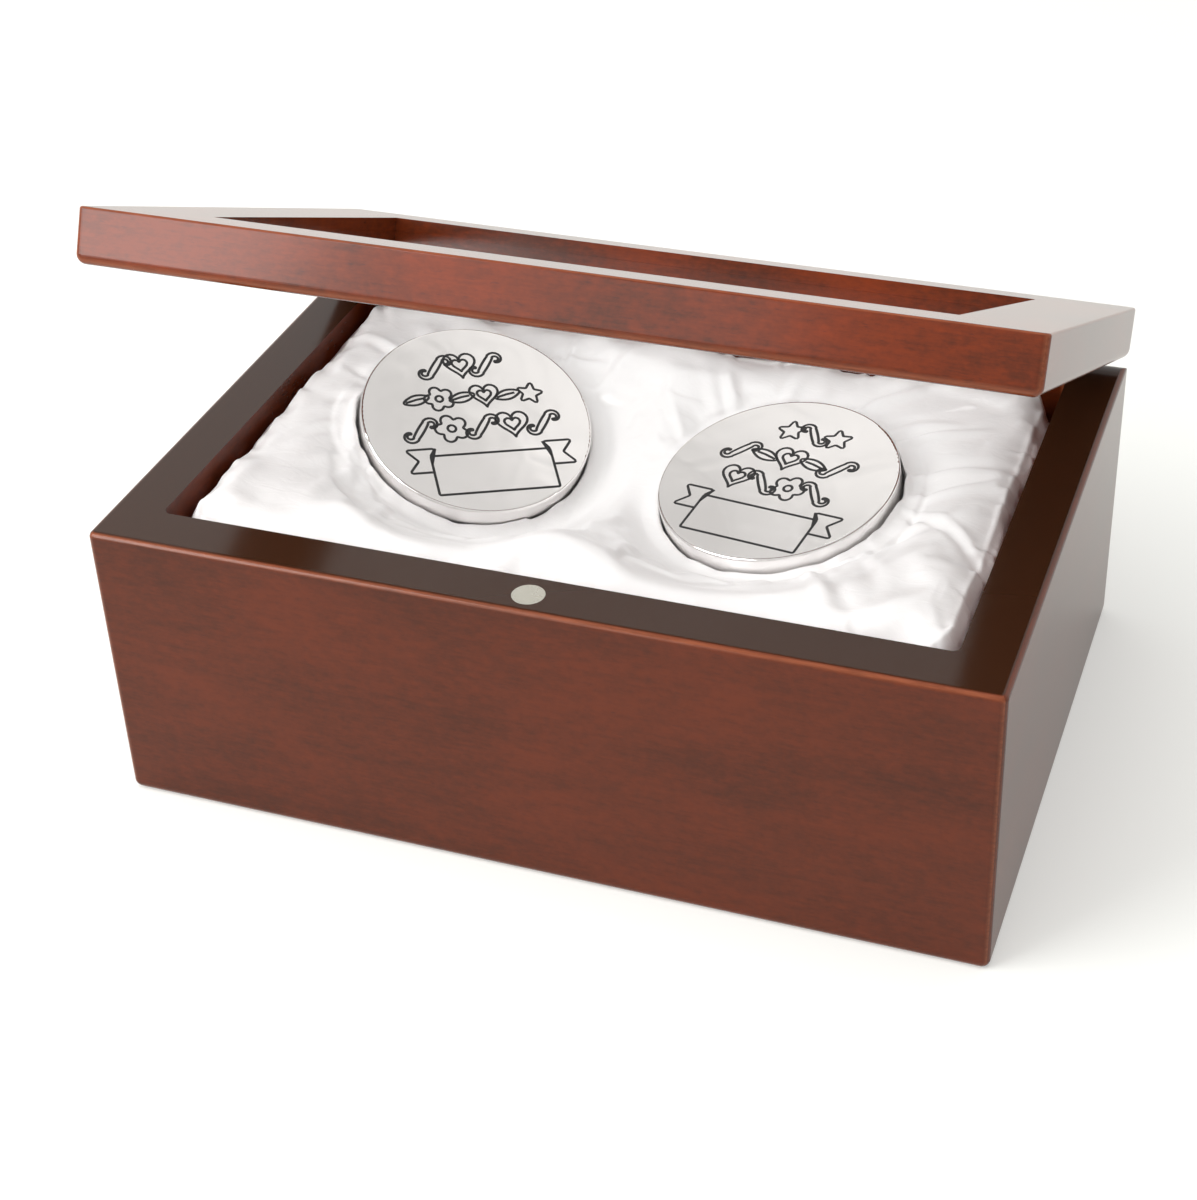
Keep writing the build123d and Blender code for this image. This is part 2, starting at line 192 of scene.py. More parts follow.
class SilverSettings(bpy.types.PropertyGroup):
    """The silver-plated tins and their engraving."""

    colour: FloatVectorProperty(
        name="Silver", description="Colour of the plating", subtype="COLOR",
        default=(0.93, 0.915, 0.91), min=0, max=1)
    enamel: FloatVectorProperty(
        name="Enamel", description="Colour of the filling in the engraved lines",
        subtype="COLOR", default=(0.012, 0.012, 0.013), min=0, max=1)
    line_width: FloatProperty(
        name="Line", description="Width of the engraved lines", default=0.56 * MM, unit="LENGTH")
    line_rise: FloatProperty(
        name="Line Rise", description="How far the filling stands proud", default=0.04 * MM,
        unit="LENGTH")
    row_height: FloatProperty(
        name="Row", description="Height of a row of ornaments", default=6.5 * MM, unit="LENGTH")
    banner_width: FloatProperty(
        name="Banner Width", description="Width of the empty name banner", default=24.2 * MM,
        unit="LENGTH")
    banner_height: FloatProperty(
        name="Banner Height", description="Height of the empty name banner",
        default=9.5 * MM, unit="LENGTH")
    left_turn: FloatProperty(
        name="Left Turn", description="How far the left tin is turned about its axis",
        default=math.radians(37.5), subtype="ANGLE")
    right_turn: FloatProperty(
        name="Right Turn", description="How far the right tin is turned about its axis",
        default=math.radians(-13.0), subtype="ANGLE")


class StageSettings(bpy.types.PropertyGroup):
    """The floor, the lamps and the camera."""

    floor_colour: FloatVectorProperty(
        name="Floor", description="Colour of the floor", subtype="COLOR",
        default=(0.67, 0.68, 0.65), min=0, max=1)
    azimuth: FloatProperty(
        name="Azimuth", description="Angle of the view from straight on, towards the right",
        default=math.radians(21.52), subtype="ANGLE")
    elevation: FloatProperty(
        name="Elevation", description="Angle of the view above the horizon",
        default=math.radians(33.75), subtype="ANGLE")
    roll: FloatProperty(
        name="Roll", description="Turn of the camera about its line of sight",
        default=math.radians(-2.70), subtype="ANGLE")
    position: FloatVectorProperty(
        name="Camera", description="Where the camera stands", subtype="TRANSLATION",
        default=(134.9 * MM, -361.3 * MM, 293.4 * MM), unit="LENGTH")
    lens: FloatProperty(name="Lens", description="Focal length in millimetres", default=70.81)


# ---------- small helpers

class Nodes:
    """Writes nodes into a tree in a few words."""

    def __init__(self, tree):
        self.tree = tree

    def add(self, kind, *inputs, **settings):
        """Adds a node, a shader node unless its kind says otherwise, and feeds its sockets."""
        node = self.tree.nodes.new(kind if "Node" in kind else "ShaderNode" + kind)
        for name, value in settings.items():
            setattr(node, name, value)
        self.feed(node, *inputs)
        return node

    def feed(self, node, *inputs):
        """Sets or links sockets; inputs are (socket, value or another node's socket) pairs."""
        for socket, value in inputs:
            target = node.inputs[socket]
            if isinstance(value, bpy.types.NodeSocket):
                self.tree.links.new(value, target)
            else:
                target.default_value = value

    def math(self, operation, first, second=0.0, clamp=False):
        """Works out one number from two."""
        node = self.add("Math", (0, first), (1, second), operation=operation, use_clamp=clamp)
        return node.outputs[0]

    def mix(self, factor, first, second):
        """Mixes two colours."""
        node = self.add("Mix", (0, factor), (6, first), (7, second), data_type="RGBA")
        return node.outputs[2]

    def ramp(self, value, low, high, to_low=0.0, to_high=1.0, **settings):
        """Stretches the range from low to high over another, 0 to 1 unless given."""
        node = self.add("MapRange", ("Value", value), ("From Min", low), ("From Max", high),
                        ("To Min", to_low), ("To Max", to_high), **settings)
        return node.outputs["Result"]

    def noise(self, vector, scale, detail, roughness=0.5, distortion=0.0):
        """Soft noise from 0 to 1."""
        node = self.add("TexNoise", ("Vector", vector), ("Scale", scale), ("Detail", detail),
                        ("Roughness", roughness), ("Distortion", distortion))
        return node.outputs[0]


class Material(Nodes):
    """Builds one material round its surface shader."""

    def __init__(self, name):
        self.material = bpy.data.materials.new(name)
        self.material.use_nodes = True
        super().__init__(self.material.node_tree)
        self.surface = self.tree.nodes["Principled BSDF"]
        self.output = self.tree.nodes["Material Output"]

    def finish(self, *inputs):
        """Sets the surface shader's own sockets."""
        self.feed(self.surface, *inputs)
        return self.material

    def bump(self, height, distance, strength=1.0, normal=None):
        """A normal raised by the height, over another bump where one is given."""
        inputs = [("Height", height), ("Distance", distance), ("Strength", strength)]
        if normal is not None:
            inputs.append(("Normal", normal))
        return self.add("Bump", *inputs).outputs["Normal"]

    def place(self, location=(0, 0, 0), rotation=(0, 0, 0), scale=(1, 1, 1)):
        """Object coordinates, seen from a frame at the given place, stretched by scale."""
        coordinates = self.add("TexCoord").outputs["Object"]
        local = self.add("Mapping", ("Vector", coordinates), ("Location", location),
                         ("Rotation", rotation), vector_type="TEXTURE").outputs[0]
        return self.add("Mapping", ("Vector", local), ("Scale", scale)).outputs[0]


def new_object(name, data):
    """Puts a new object into the scene."""
    thing = bpy.data.objects.new(name, data)
    bpy.context.scene.collection.objects.link(thing)
    return thing


def taken_mesh(thing):
    """The mesh that an object's modifiers make; the object itself is removed."""
    depsgraph = bpy.context.evaluated_depsgraph_get()
    mesh = bpy.data.meshes.new_from_object(thing.evaluated_get(depsgraph), depsgraph=depsgraph)
    bpy.data.objects.remove(thing)
    return mesh


def rgba(colour):
    """A colour with full opacity."""
    return (*colour, 1.0)


def paint(material, *names):
    """Gives whole nodes one material."""
    for name in names:
        materials = NODES[name].data.materials
        materials.clear()
        materials.append(material)


def smooth(mesh, angle):
    """Smooth shading, with edges sharper than the angle kept crisp."""
    mesh.polygons.foreach_set("use_smooth", [True] * len(mesh.polygons))
    mesh.set_sharp_from_angle(angle=math.radians(angle))


def new_piece(name, mesh, body, replaced=()):
    """Links a finished mesh as one piece of the object."""
    piece = new_object(name, mesh)
    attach(piece, body)
    if replaced:
        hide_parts(*replaced)
    return piece


def tin_frame(side):
    """A matrix at the centre of a cover's top, +Z along the tin's axis, and the cover's radius."""
    axis = Vector(JOINTS[f"{side}_cover_lift"]["axis"]).normalized()
    right = Vector((axis.z, 0, -axis.x)).normalized()
    back = axis.cross(right)
    points = [vertex.co.copy() for vertex in NODES[f"{side}_tin_cover"].data.vertices]
    middle = []
    for direction in (right, back):
        along = [point.dot(direction) for point in points]
        middle.append((min(along) + max(along)) / 2)
        radius = (max(along) - min(along)) / 2
    top = max(point.dot(axis) for point in points)
    matrix = Matrix((right, back, axis)).transposed().to_4x4()
    matrix.translation = right * middle[0] + back * middle[1] + axis * top
    return matrix, radius


# ---------- engraved ornaments
# Each one fits a square of side 1 about its middle, as (points, closed) lines.

def round_line(shape, steps=36):
    """A closed line through shape(angle) once round."""
    return [shape(2 * math.pi * step / steps) for step in range(steps)], True


def heart():
    """A heart and a smaller one inside it."""
    def edge(scale, drop):
        """One heart's outline."""
        def shape(angle):
            across = 16 * math.sin(angle) ** 3
            high = (13 * math.cos(angle) - 5 * math.cos(2 * angle) - 2 * math.cos(3 * angle)
                    - math.cos(4 * angle))
            return scale * across / 32, scale * (high + drop) / 30
        return shape
    return [round_line(edge(1.0, 2.5)), round_line(edge(0.5, 3.5), 20)]


def star():
    """A five-pointed star."""
    points = []
    for step in range(10):
        reach = 0.24 if step % 2 else 0.54
        angle = math.pi / 2 + math.pi * step / 5
        points.append((reach * math.cos(angle), reach * math.sin(angle)))
    return [(points, True)]


def flower():
    """Five petals round an eye."""
    def petals(angle):
        reach = 0.3 + 0.22 * abs(math.cos(2.5 * angle)) ** 0.7
        return reach * math.cos(angle), reach * math.sin(angle)

    def eye(angle):
        return 0.13 * math.cos(angle), 0.13 * math.sin(angle)
    return [round_line(petals, 60), round_line(eye, 12)]


def leaf():
    """A pointed leaf with its midrib."""
    upper = [(step / 12 - 0.5, 0.2 * math.sin(math.pi * step / 12) ** 0.8) for step in range(13)]
    lower = [(across, -high) for across, high in reversed(upper[1:-1])]
    return [(upper + lower, True), ([(-0.4, 0), (0.0, 0.02), (0.28, 0)], False)]


def scroll():
    """A swelling S-shaped stroke that curls in at both ends."""
    straight = 0.35
    spine = []
    for step in range(41):
        part = step / 20 - 1
        if abs(part) < straight:
            spine.append((0.62 * part, 0.9 * part))
            continue
        way = 1 if part > 0 else -1
        sweep = (abs(part) - straight) / (1 - straight)
        angle = 2.5 - 4.9 * sweep
        reach = 0.2 * (1 - 0.55 * sweep)
        spine.append((way * (0.36 + reach * math.cos(angle)),
                      way * (0.2 + reach * math.sin(angle))))
    left_edge, right_edge = [], []
    for index in range(1, len(spine) - 1):
        before, here, after = spine[index - 1:index + 2]
        run = Vector((after[0] - before[0], after[1] - before[1])).normalized()
        half = 0.028 + 0.075 * math.sin(math.pi * index / (len(spine) - 1)) ** 2
        left_edge.append((here[0] - half * run.y, here[1] + half * run.x))
        right_edge.append((here[0] + half * run.y, here[1] - half * run.x))
    return [(left_edge + right_edge[::-1], True)]


def banner(width, height):
    """An empty name banner and its two notched tails, in metres about the banner's middle."""
    half, top = width / 2, height / 2
    tail, notch = 0.2 * width, 0.095 * width
    upper, lower = top + 0.19 * height, top - 0.41 * height
    lines = [([(-half, -top), (half, -top), (half, top), (-half, top)], True)]
    for way in (-1, 1):
        near = way * half
        far = way * (half + tail)
        lines.append(([(near, top), (way * (half - 0.05 * width), upper), (far, upper),
                       (far - way * notch, (upper + lower) / 2), (far, lower),
                       (near, lower)], False))
        lines.append(([(way * (half - 0.05 * width), upper), (near, top * 0.6)], False))
    return lines


# A row is its middle, its width in rows' heights, and the ornaments along it
LEFT_ROWS = (
    (-0.8 * MM, 13.3 * MM, 2.4, (scroll, heart, scroll)),
    (0.3 * MM, 5.3 * MM, 4.3, (leaf, flower, leaf, heart, leaf, star)),
    (0.6 * MM, -2.3 * MM, 4.8, (scroll, flower, scroll, heart, scroll)),
)
RIGHT_ROWS = (
    (1.0 * MM, 13.3 * MM, 2.3, (star, scroll, star)),
    (-0.4 * MM, 5.3 * MM, 4.0, (scroll, leaf, heart, leaf, scroll)),
    (0.6 * MM, -2.3 * MM, 3.5, (heart, scroll, flower, scroll)),
)
BANNER_PLACE = (0.9 * MM, -13.5 * MM)
ORNAMENT_LEAN = math.radians(14)  # leaves and stars lean left and right by turns


# ---------- materials

def lacquered_wood(name, settings, stain, location, rotation, seed, rim=False, edge_wear_and_highlight=0.7):
    """Stained wood under clear lacquer; the grain runs along the X axis of the given frame. Edges
    get wear and a painted highlight, and a rim's top gets painted shade.
    """
    shader = Material(name)

    def grain(width, length, detail, roughness, distortion=0.0):
        """Noise drawn out along the grain, in a part of the pattern that is the board's own."""
        place = shader.place(location, rotation, (1 / length, 1 / width, 1 / width))
        own = shader.add("VectorMath", (0, place), (1, (seed, seed * 1.7, seed * 0.6)),
                         operation="ADD").outputs[0]
        return shader.noise(own, 1.0, detail, roughness, distortion)

    figure = grain(settings.figure_width, 50 * MM, 5.0, 0.6, 0.8)
    fibre = grain(settings.fibre_width, 5.5 * MM, 5.0, 0.65)
    mottle = grain(1.3 * MM, 2.4 * MM, 3.0, 0.7)
    pores = grain(settings.pore_width, 2.5 * MM, 2.0, 0.5)
    cloud = grain(24 * MM, 40 * MM, 2.0, 0.5)
    pore_mask = shader.ramp(pores, 0.66, 0.74)
    tone = shader.math("MULTIPLY", shader.ramp(figure, 0.22, 0.66), 0.7)
    for streaks, strength in ((fibre, 1.0), (mottle, 1.3), (cloud, 1.1)):
        tone = shader.math("ADD", tone, shader.math(
            "MULTIPLY", shader.math("SUBTRACT", streaks, 0.5), strength))
    tone = shader.math("ADD", tone, 0.12, clamp=True)
    colour = shader.mix(tone, rgba(settings.dark_stain), rgba(stain))
    colour = shader.mix(shader.math("MULTIPLY", pore_mask, 0.45), colour,
                        rgba(settings.pore_colour))
    # Where the normal leans off the frame's axes, the edges turn lighter and orange: part wear
    # where the stain is thin, part painted highlight of the lamps on the rounded edges.
    normal = shader.add("TexCoord").outputs["Normal"]
    turned = shader.add("Mapping", ("Vector", normal), ("Rotation", rotation),
                        vector_type="TEXTURE").outputs[0]
    facing = shader.add("VectorMath", (0, turned), operation="ABSOLUTE").outputs[0]
    split = shader.add("SeparateXYZ", (0, facing)).outputs
    flattest = shader.math("MAXIMUM", shader.math("MAXIMUM", split[0], split[1]), split[2])
    edge = shader.math("MULTIPLY", shader.ramp(flattest, 0.985, 0.82),
                       shader.ramp(fibre, 0.1, 0.6))
    colour = shader.mix(shader.math("MULTIPLY", edge, edge_wear_and_highlight), colour,
                        rgba(settings.worn_edge_and_highlight_colour))
    # Painted shade: on the base panels, faces that point up (the rim's top) are darkened as if in
    # the lid's shade.
    if rim:
        upward = shader.add("SeparateXYZ", (0, normal)).outputs[2]
        colour = shader.mix(shader.ramp(upward, 0.9, 0.995), colour, rgba(settings.rim_top_shade))
    relief = shader.bump(shader.math("SUBTRACT", fibre, pore_mask), 0.02 * MM, 0.3)
    return shader.finish(
        ("Base Color", colour), ("Roughness", 0.5), ("Normal", relief), ("IOR", 1.4),
        ("Specular IOR Level", 0.0), ("Coat Weight", 1.0), ("Coat Roughness", 0.15),
        ("Coat IOR", 1.38))


def plain(name, colour, roughness, sheen=0.0):
    """A material whose variety comes from a fine mottle alone."""
    shader = Material(name)
    mottle = shader.ramp(shader.noise(shader.place(), 160.0, 6.0), 0.0, 1.0)
    darker = tuple(0.86 * channel for channel in colour)
    return shader.finish(
        ("Base Color", shader.mix(mottle, rgba(darker), rgba(colour))), ("Roughness", roughness),
        ("Sheen Weight", sheen))


def brushed_metal(name, colour, roughness, depth=0.004 * MM, wave=0.001 * MM):
    """Metal with fine marks running along X, over the slow waves that pressing leaves."""
    shader = Material(name)
    scratch = 0.3 * MM
    along = shader.place(scale=(1 / (30 * scratch), 1 / scratch, 1 / scratch))
    marks = shader.noise(along, 1.0, 4.0)
    cloud = shader.noise(shader.place(), 220.0, 5.0)
    waves = shader.noise(shader.place(), 75.0, 1.5, distortion=0.8)
    rough = shader.ramp(cloud, 0.0, 1.0, 0.75 * roughness, 1.3 * roughness)
    pressed = shader.bump(waves, wave)
    return shader.finish(
        ("Base Color", rgba(colour)), ("Metallic", 1.0), ("Roughness", rough),
        ("Normal", shader.bump(marks, depth, 0.6, normal=pressed)))


# ---------- operators

class KEEPSAKE_OT_wood(bpy.types.Operator):
    """Stains and lacquers the panels of the box and the rails and beads of the lid, painting
    highlights on the edges, shade on the rim's top and a warm sheen into the lid's stain
    """

    bl_idname = "keepsake.wood"
    bl_label = "Lacquered Wood"

    def execute(self, context):
        settings = context.scene.keepsake_wood
        across = math.radians(90)
        hinge = Vector(LID_HINGE["pos_m"])
        for index, side in enumerate(SIDES):
            turn = 0 if side in ("front", "back") else across
            # The painted edge highlight and wear are strong on the front and back panels and faint
            # on the sides.
            material = lacquered_wood(
                f"wood_base_{side}", settings, settings.stain, (0, 0, 0), (0, 0, turn),
                7.3 * index, rim=True, edge_wear_and_highlight=0.15 if turn else 0.7)
            paint(material, f"base_{side}_panel")
            lean = (0, LID_TILT, across) if turn else (-LID_TILT, 0, 0)
            # The lid's rails take the lighter stain, which paints their sheen.
            rail = lacquered_wood(
                f"wood_lid_{side}", settings, settings.lid_stain_and_sheen, hinge, lean,
                31.1 + 5.9 * index)
            paint(rail, f"lid_{side}_rail", f"glazing_bead_{side}")
        return {"FINISHED"}


class KEEPSAKE_OT_insert(bpy.types.Operator):
    """Finishes the board, the felt and the foam under the pad"""

    bl_idname = "keepsake.insert"
    bl_label = "Board, Felt and Foam"

    def execute(self, context):
        felt = plain("felt", (0.035, 0.024, 0.02), 0.95, sheen=0.6)
        paint(plain("plywood", (0.62, 0.45, 0.29), 0.7), "base_board")
        paint(felt, "base_felt")
        paint(plain("foam", (0.8, 0.79, 0.75), 0.9), "insert_foam")
        return {"FINISHED"}


class KEEPSAKE_OT_glass(bpy.types.Operator):
    """Makes the pane in the lid clear glass"""

    bl_idname = "keepsake.glass"
    bl_label = "Lid Pane"

    def execute(self, context):
        shader = Material("clear_glass")
        material = shader.finish(
            ("Base Color", (0.985, 0.982, 0.978, 1)), ("Roughness", 0.0), ("IOR", 1.5),
            ("Transmission Weight", 1.0))
        paint(material, "lid_pane")
        NODES["lid_pane"].visible_shadow = False
        return {"FINISHED"}


class KEEPSAKE_OT_hardware(bpy.types.Operator):
    """Finishes the hinges, screws, brads and magnets"""

    bl_idname = "keepsake.hardware"
    bl_label = "Hinges and Magnets"

    def execute(self, context):
        brass = brushed_metal("brass", (0.66, 0.49, 0.26), 0.3)
        steel = brushed_metal("steel", (0.6, 0.6, 0.6), 0.3)
        nickel = brushed_metal("nickel", (0.63, 0.62, 0.55), 0.25)
        paint(brass, *(name for name in NODES
                       if name.startswith("hinge_") or name.endswith("hinge_screws")))
        paint(steel, "glazing_brads")
        paint(nickel, "base_magnet", "lid_magnet")
        return {"FINISHED"}


class KEEPSAKE_OT_tins(bpy.types.Operator):
    """Finishes the two tins and engraves their covers"""

    bl_idname = "keepsake.tins"
    bl_label = "Silver-Plated Tins"

    def execute(self, context):
        settings = context.scene.keepsake_silver
        silver = brushed_metal("silver_plate", settings.colour, 0.07, depth=0.001 * MM,
                               wave=0.08 * MM)
        enamel = plain("black_filling", settings.enamel, 0.35)
        tree = self.line_tree()
        turns = {"left": settings.left_turn, "right": settings.right_turn}
        rows = {"left": LEFT_ROWS, "right": RIGHT_ROWS}
        for side in TIN_SIDES:
            paint(silver, f"{side}_tin_cup", f"{side}_tin_cover")
            lines = self.design(settings, rows[side])
            mesh = self.engrave(f"{side}_cover_engraving", lines, tree, enamel, settings)
            place, _ = tin_frame(side)
            mesh.transform(place @ Matrix.Rotation(turns[side], 4, "Z"))
            new_piece(f"{side}_cover_engraving", mesh, f"{side}_cover")
        return {"FINISHED"}

    @staticmethod
    def design(settings, rows):
        """The lines of one cover, in the design's own upright frame."""
        lines = []
        for middle_x, middle_y, width, ornaments in rows:
            pitch = width * settings.row_height / len(ornaments)
            for index, ornament in enumerate(ornaments):
                across = middle_x + (index - (len(ornaments) - 1) / 2) * pitch
                size = min(pitch * 1.25, settings.row_height)
                mirror = -1 if index % 2 else 1
                turn = ORNAMENT_LEAN * mirror if ornament in (leaf, star) else 0
                for points, closed in ornament():
                    lines.append(([(
                        across + size * (mirror * x * math.cos(turn) - y * math.sin(turn)),
                        middle_y + size * (mirror * x * math.sin(turn) + y * math.cos(turn)))
                        for x, y in points], closed))
        for points, closed in banner(settings.banner_width, settings.banner_height):
            lines.append(([(BANNER_PLACE[0] + x, BANNER_PLACE[1] + y) for x, y in points],
                          closed))
        return lines

    @staticmethod
    def line_tree():
        """Geometry nodes that turn drawn lines into low, round-backed strips of filling."""
        tree = bpy.data.node_groups.new("engraved_lines", "GeometryNodeTree")
        sockets = tree.interface
        sockets.new_socket("Lines", in_out="INPUT", socket_type="NodeSocketGeometry")
        for name in ("Width", "Rise"):
            sockets.new_socket(name, in_out="INPUT", socket_type="NodeSocketFloat")
        sockets.new_socket("Filling", in_out="INPUT", socket_type="NodeSocketMaterial")
        sockets.new_socket("Mesh", in_out="OUTPUT", socket_type="NodeSocketGeometry")
        nodes = Nodes(tree)
        source = nodes.add("NodeGroupInput").outputs
        corner = nodes.add(
            "GeometryNodeFilletCurve", ("Curve", source["Lines"]),
            ("Radius", nodes.math("MULTIPLY", source["Width"], 0.6)), ("Limit Radius", True),
            ("Count", 2), mode="POLY")
        upright = nodes.add("GeometryNodeSetCurveNormal", ("Curve", corner.outputs[0]),
                            mode="Z_UP")
        circle = nodes.add("GeometryNodeCurvePrimitiveCircle", ("Resolution", 6), ("Radius", 1.0))
        size = nodes.add("CombineXYZ", ("X", nodes.math("MULTIPLY", source["Width"], 0.5)),
                         ("Y", source["Rise"]))
        profile = nodes.add("GeometryNodeTransform", ("Geometry", circle.outputs["Curve"]),
                            ("Scale", size.outputs[0]))
        sweep = nodes.add("GeometryNodeCurveToMesh", ("Curve", upright.outputs[0]),
                          ("Profile Curve", profile.outputs["Geometry"]), ("Fill Caps", True))
        realize = nodes.add("GeometryNodeRealizeInstances", (0, sweep.outputs["Mesh"]))
        finish = nodes.add("GeometryNodeSetMaterial", ("Geometry", realize.outputs[0]),
                           ("Material", source["Filling"]))
        nodes.add("NodeGroupOutput", (0, finish.outputs[0]))
        return tree

    @staticmethod
    def engrave(name, lines, tree, enamel, settings):
        """Sweeps one cover's lines into a mesh on the plane Z = 0."""
        curve = bpy.data.curves.new(name + "_lines", "CURVE")
        curve.dimensions = "3D"
        for points, closed in lines:
            spline = curve.splines.new("POLY")
            spline.points.add(len(points) - 1)
            for point, (x, y) in zip(spline.points, points):
                point.co = (x, y, 0, 1)
            spline.use_cyclic_u = closed
        drawing = new_object(name + "_lines", curve)
        modifier = drawing.modifiers.new("Engraving", "NODES")
        modifier.node_group = tree
        values = {"Width": settings.line_width, "Rise": settings.line_rise, "Filling": enamel}
        for item in tree.interface.items_tree:
            if item.in_out == "INPUT" and item.name in values:
                modifier[item.identifier] = values[item.name]
        mesh = taken_mesh(drawing)
        bpy.data.curves.remove(curve)
        smooth(mesh, 50)
        return mesh


class Folds:
    """Heights of gathered folds at the pad's points, in millimetres; angles are in degrees."""

    def __init__(self, points, half_x, half_y, seed):
        self.x, self.y = points[:, 0], points[:, 1]
        self.half_x, self.half_y = half_x, half_y
        self.source = random.Random(seed)
        self.rise = np.zeros(len(points))

    @staticmethod
    def crease(lateral, width):
        """The height across a crease: a ridge with a furrow beside it."""
        part = lateral / width
        return np.exp(-part ** 2) - 0.6 * np.exp(-((part - 1.7) / 0.95) ** 2)

    def fan(self, centre, first, last, count, start, reach, strength):
        """Creases that run out from a centre between two angles."""
        source = self.source
        away = np.hypot(self.x - centre[0], self.y - centre[1])
        angle = np.arctan2(self.y - centre[1], self.x - centre[0])
        total = np.zeros(len(self.x))
        for index in range(count):
            share = (index + source.uniform(0.15, 0.85)) / count
            heading = math.radians(first + (last - first) * share)
            begin = start + source.uniform(-0.6, 1.8)
            length = reach * source.uniform(0.45, 1.0)
            bend = source.uniform(-0.014, 0.014)
            width = source.uniform(0.8, 1.7)
            size = strength * source.uniform(0.35, 1.0) * source.choice((1, 1, -0.7))
            run = away - begin
            turn = (angle - heading - bend * run + math.pi) % (2 * math.pi) - math.pi
            fade = np.clip(run / 2.5, 0, 1) * np.clip((length - run) / (0.6 * length), 0, 1)
            total += size * fade * self.crease(turn * away, width * (1 + 0.025 * run.clip(0)))
        self.rise += total

    def rings(self, centre, first, last, offsets, strength):
        """Creases that follow a circle between two angles."""
        source = self.source
        away = np.hypot(self.x - centre[0], self.y - centre[1])
        angle = np.degrees(np.arctan2(self.y - centre[1], self.x - centre[0]))
        middle, half = (first + last) / 2, (last - first) / 2
        turn = np.abs((angle - middle + 180) % 360 - 180)
        fade = np.clip((half - turn) / 25, 0, 1)
        total = np.zeros(len(self.x))
        for offset in offsets:
            drift = 0.5 * np.sin(np.radians(angle * 2.3) + offset)
            total += strength * source.uniform(0.6, 1.0) * fade * self.crease(
                away - offset - drift, source.uniform(0.5, 0.8))
        self.rise += total

    def corners(self, count, start, reach, strength):
        """Creases that fan out of the four corners."""
        for corner_x, corner_y, heading in (
                (self.half_x, -self.half_y, 135), (self.half_x, self.half_y, 225),
                (-self.half_x, self.half_y, 315), (-self.half_x, -self.half_y, 45)):
            self.fan((corner_x, corner_y), heading - 55, heading + 55, count, start, reach,
                     strength)

    def pleats(self, wall, count, reach, strength):
        """Short pleats square to a wall."""
        source = self.source
        along, inward, half = {
            "right": (self.y, self.half_x - self.x, self.half_y),
            "left": (self.y, self.half_x + self.x, self.half_y),
            "back": (self.x, self.half_y - self.y, self.half_x),
            "front": (self.x, self.half_y + self.y, self.half_x),
        }[wall]
        total = np.zeros(len(self.x))
        for index in range(count):
            place = -half + 2 * half * (index + source.uniform(0.1, 0.9)) / count
            lean = source.uniform(-0.5, 0.5)
            length = reach * source.uniform(0.4, 1.0)
            fade = np.clip((length - inward) / (0.7 * length), 0, 1)
            total += strength * source.uniform(0.3, 1.0) * fade * self.crease(
                along - place - lean * inward, source.uniform(0.6, 1.3))
        self.rise += total

    def billows(self, count, height):
        """Long soft waves over the whole cover."""
        total = np.zeros(len(self.x))
        for _ in range(count):
            heading, pitch = self.source.uniform(0, math.pi), self.source.uniform(14, 34)
            phase = self.source.uniform(0, 2 * math.pi)
            total += np.sin((self.x * math.cos(heading) + self.y * math.sin(heading))
                            * 2 * math.pi / pitch + phase)
        self.rise += height * total


